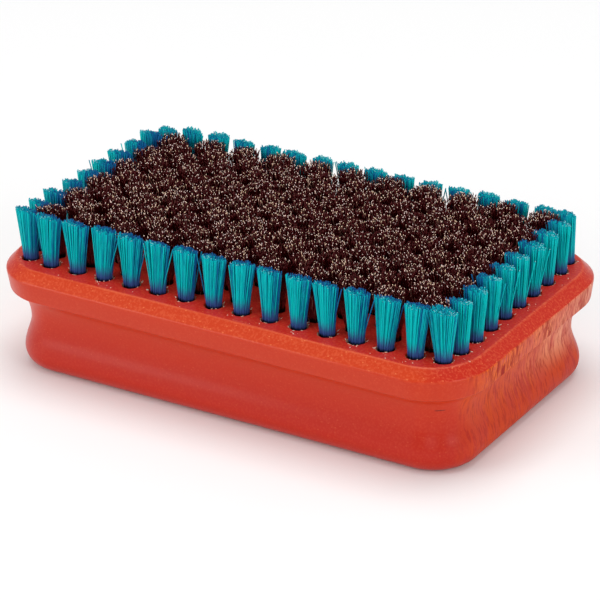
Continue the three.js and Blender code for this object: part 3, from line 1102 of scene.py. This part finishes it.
# Painted sheen and shade: the ends grow paler towards the back, and the groove is redder at the
# front and tanner at the back.
backwards = ramp(tree, across, start=-END_HALF, end=END_HALF)
end_tan_and_sheen = blend(tree, times(tree, backwards, backwards), FRONT_TAN, BACK_TAN_SHEEN)
in_flange = ramp(tree, up, start=18.9 * MM, end=19.5 * MM)
groove_tan_and_sheen = scaled(tree, backwards, gain=0.6, start=0.25)
in_groove = times(tree, ramp(tree, up, start=6.0 * MM, end=13.5 * MM), groove_tan_and_sheen)
tan_share = reckon(tree, "MAXIMUM", in_flange, in_groove)
soaked = blend(tree, tan_share, SOAKED_RED, end_tan_and_sheen)
line_strength = scaled(tree, patchy, gain=-0.45, start=0.95)
lines = times(tree, ramp(tree, grain["Fibres"], start=0.48, end=0.62), line_strength)
with_lines = blend(tree, lines, soaked, LINE_RED)
stroke_strength = times(tree, in_flange, scaled(tree, patchy, gain=0.85, start=0.15))
strokes = times(tree, ramp(tree, grain["Streaks"], start=0.46, end=0.51), stroke_strength)
with_strokes = blend(tree, strokes, with_lines, STROKE_RED)
thirst = scaled(tree, patchy, gain=0.4, start=0.6)
open_grain = times(tree, ramp(tree, grain["Streaks"], start=0.28, end=0.5), thirst)
drink = times(tree, end_face, open_grain)
with_ends = blend(tree, drink, with_peel, with_strokes)
print("ends soaked,", len(tree.nodes), "nodes so far")

# %% [markdown]
# ## Wear and gloss
# Sanded edges and torn rims show the wood, and the pale sanded edges also stand in for a painted
# highlight along them. One short nick in the groove near the front corner shows that the brush
# has been handled. The nick is a flattened ball of distance round one point, with its border made
# ragged by the fibres. A clear coat on top gives the soft gloss, and it is missing where the ends
# drank it. The fibres lift the surface a little.

# %% Wear and polish the lacquer
RUBBED_WOOD_AND_HIGHLIGHT, TORN_WOOD = paint(236, 116, 74), paint(226, 186, 160)
RUBBED_SHARE = 0.6
NICK_PLACE = Vector((54.05, -29.80, 15.38)) * MM
NICK_HALF = Vector((1.5, 1.5, 0.17)) * MM
NICK_DARK, NICK_SHARE = paint(84, 20, 18), 0.8
RELIEF_STRENGTH, RELIEF_DEPTH = 0.12, 0.1 * MM

# Painted highlight: the sanded edges show rubbed wood, and its pale colour also stands in for the
# highlight along them.
rubbed = times(tree, ramp(tree, grain["Fibres"], start=0.25, end=0.75), thirst)
worn = times(tree, times(tree, thin, rubbed), RUBBED_SHARE)
with_wear_and_highlight = blend(tree, worn, with_ends, RUBBED_WOOD_AND_HIGHLIGHT)
with_rims = blend(tree, torn, with_wear_and_highlight, TORN_WOOD)
off_nick = vector_sum(tree, "SUBTRACT", places["Object"], NICK_PLACE)
nick_reach = vector_sum(tree, "LENGTH", vector_sum(tree, "DIVIDE", off_nick, NICK_HALF))
ragged_reach = scaled(tree, grain["Fibres"], gain=0.9, start=nick_reach)
nick = remainder(tree, ramp(tree, ragged_reach, start=0.9, end=1.5))
colour = blend(tree, times(tree, nick, NICK_SHARE), with_rims, NICK_DARK)
coat = scaled(tree, drink, gain=-0.2, start=0.2)
roughness = scaled(tree, drink, gain=0.3, start=0.36)
raised_grain = scaled(tree, drink, gain=1.5, start=grain["Fibres"])
relief = scaled(tree, nick, gain=-3.0, start=raised_grain)
bump = add_node(tree, "ShaderNodeBump", {
    "Height": relief, "Strength": RELIEF_STRENGTH, "Distance": RELIEF_DEPTH})
feed(tree, shader, Base_Color=colour, Coat_Weight=coat, Roughness=roughness,
     Normal=bump.outputs[0])
block_mesh.materials.append(lacquer)
print(lacquer.name, "has", len(tree.nodes), "nodes")

# %% [markdown]
# ## Bare wood
# The splinters show the wood under the lacquer: pale, dull and streaked along the fibres. They are
# too small for a pattern of their own, so the grain of the block runs on through them.

# %% Finish the splinters
DULL_WOOD, PALE_WOOD = paint(216, 176, 150), paint(252, 236, 220)

bare_wood, tree, shader = new_finish("bare_wood")
grain = place_group(tree, wood_grain, {"Pore Size": 0.3})
pale = blend(tree, grain["Streaks"], DULL_WOOD, PALE_WOOD)
roughness = scaled(tree, grain["Fibres"], gain=0.3, start=0.6)
feed(tree, shader, Base_Color=pale, Roughness=roughness)
splinter_mesh.materials.append(bare_wood)
print(bare_wood.name, "on", splinter_mesh.name)

# %% [markdown]
# ## Anchor wire
# Deep in each nylon hole a flat piece of steel wire holds the folded tuft. The CAD solids have
# the right shape already, so they stay and only get a finish: drawn steel with fine lines.

# %% Finish the anchors
DARK_STEEL, LIGHT_STEEL = paint(130, 132, 136), paint(196, 198, 202)
DRAWN_SCALE = (600.0, 600.0, 9000.0)

steel, tree, shader = new_finish("drawn_steel", Metallic=1.0)
solid = add_node(tree, "ShaderNodeTexCoord").outputs["Object"]
drawn_lines = noise(tree, solid, DRAWN_SCALE, detail=3.0)
shade = blend(tree, drawn_lines, DARK_STEEL, LIGHT_STEEL)
roughness = scaled(tree, drawn_lines, gain=0.25, start=0.25)
feed(tree, shader, Base_Color=shade, Roughness=roughness)
anchors = [made for name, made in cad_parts.items() if name.startswith("nylon_anchor")]
for anchor in anchors:
    for place in anchor.material_slots:
        place.material = steel
print(len(anchors), "anchors in drawn steel")
